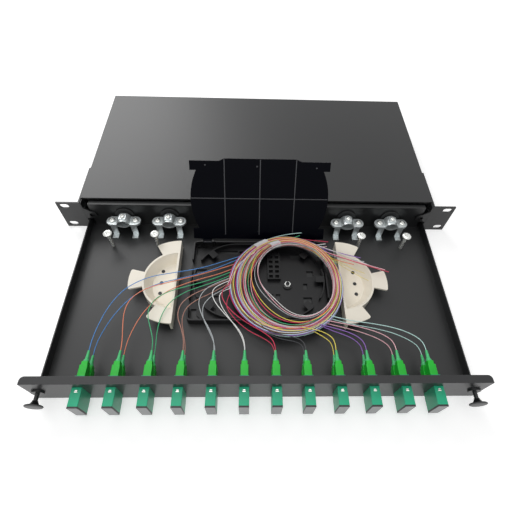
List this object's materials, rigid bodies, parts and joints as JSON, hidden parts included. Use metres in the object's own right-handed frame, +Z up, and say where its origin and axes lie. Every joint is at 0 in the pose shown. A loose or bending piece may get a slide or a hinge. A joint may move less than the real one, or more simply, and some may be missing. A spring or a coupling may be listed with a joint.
{
  "type": "optical distribution frame",
  "caption": "Rack mounted sliding optical distribution drawer in black sheet steel with duplex fibre adapters, coiled pigtails, a lidded splice tray, half moon fibre guides and cable clamps",
  "frame": {"origin": "the centre of the four rack slots, in the plane of the ears' front faces", "axes": "+X to the right seen from the front, +Y back into the rack, +Z up"},
  "size_m": [0.4826, 0.4439, 0.1034],
  "materials": {
    "black_steel": "satin black powder coat on sheet steel",
    "zinc_steel": "bright zinc plated steel",
    "nickel_steel": "nickel plated screws and bolts",
    "stainless_spring": "bright spring steel",
    "black_tray_plastic": "moulded black plastic, light sheen",
    "ivory_plastic": "moulded ivory plastic, smooth",
    "black_nylon": "moulded black nylon",
    "black_rubber": "black rubber",
    "teal_plastic": "moulded teal plastic",
    "green_plastic": "moulded bright green plastic",
    "mint_rubber": "moulded light green boot",
    "grey_cap": "moulded grey cap",
    "white_ceramic": "polished zirconia",
    "jacket_blue": "soft blue fibre jacket",
    "jacket_orange": "soft orange fibre jacket",
    "jacket_green": "soft green fibre jacket",
    "jacket_brown": "soft brown fibre jacket",
    "jacket_slate": "soft slate fibre jacket",
    "jacket_white": "soft white fibre jacket",
    "jacket_red": "soft red fibre jacket",
    "jacket_black": "soft black fibre jacket",
    "jacket_yellow": "soft yellow fibre jacket",
    "jacket_violet": "soft violet fibre jacket",
    "jacket_rose": "soft rose fibre jacket",
    "jacket_aqua": "soft aqua fibre jacket",
    "jacket_mixed": "soft fibre jackets in the twelve colours"
  },
  "bodies": {
    "housing": {"housing_base": "black_steel", "top_cover": "black_steel", "ear_bracket_left": "black_steel", "ear_bracket_right": "black_steel", "latch_bracket_left": "black_steel", "latch_bracket_right": "black_steel", "ear_screws": "nickel_steel", "cover_screws": "nickel_steel"},
    "drawer": {"drawer_tray": "black_steel", "front_panel": "black_steel", "cable_grommets": "black_rubber", "clamp_brackets": "zinc_steel", "clamp_saddles": "zinc_steel", "clamp_screws": "nickel_steel", "anchor_bolts": "nickel_steel", "splice_tray": "black_tray_plastic", "splice_combs": "black_tray_plastic", "tray_studs": "nickel_steel", "tray_nuts": "nickel_steel", "lid_hinge_pins": "black_tray_plastic", "fibre_guide_left": "ivory_plastic", "fibre_guide_right": "ivory_plastic", "guide_rivets": "black_nylon", "adapter_clips": "stainless_spring", "alignment_sleeves": "white_ceramic", "connector_housings": "green_plastic", "connector_boots": "mint_rubber", "ferrules": "white_ceramic", "dust_caps": "grey_cap", "latch_grommets": "black_nylon", "fibre_coil": "jacket_mixed", "adapter_01": "teal_plastic", "pigtail_pair_01": "jacket_blue", "adapter_02": "teal_plastic", "pigtail_pair_02": "jacket_orange", "adapter_03": "teal_plastic", "pigtail_pair_03": "jacket_green", "adapter_04": "teal_plastic", "pigtail_pair_04": "jacket_brown", "adapter_05": "teal_plastic", "pigtail_pair_05": "jacket_slate", "adapter_06": "teal_plastic", "pigtail_pair_06": "jacket_white", "adapter_07": "teal_plastic", "pigtail_pair_07": "jacket_red", "adapter_08": "teal_plastic", "pigtail_pair_08": "jacket_black", "adapter_09": "teal_plastic", "pigtail_pair_09": "jacket_yellow", "adapter_10": "teal_plastic", "pigtail_pair_10": "jacket_violet", "adapter_11": "teal_plastic", "pigtail_pair_11": "jacket_rose", "adapter_12": "teal_plastic", "pigtail_pair_12": "jacket_aqua"},
    "lid": {"splice_lid": "black_tray_plastic"},
    "plunger_left": {"latch_plunger_left": "black_nylon"},
    "plunger_right": {"latch_plunger_right": "black_nylon"}
  },
  "joints": [
    {"name": "drawer_slide", "type": "slide", "parent": "housing", "child": "drawer", "axis": [0, 1, 0], "range_m": [0, 0.096]},
    {"name": "lid_hinge", "type": "hinge", "parent": "drawer", "child": "lid", "pos_m": [0, -0.032, -0.008], "axis": [1, 0, 0], "range_deg": [0, 108.1], "deforming": ["fibre_coil"]},
    {"name": "plunger_left_slide", "type": "slide", "parent": "drawer", "child": "plunger_left", "axis": [0, 1, 0], "range_m": [0, 0.006]},
    {"name": "plunger_right_slide", "type": "slide", "parent": "drawer", "child": "plunger_right", "axis": [0, 1, 0], "range_m": [0, 0.006]}
  ],
  "couplings": [
    {"joint": "lid_hinge", "follows": "drawer_slide", "rad_per_m": 19.635}
  ]
}
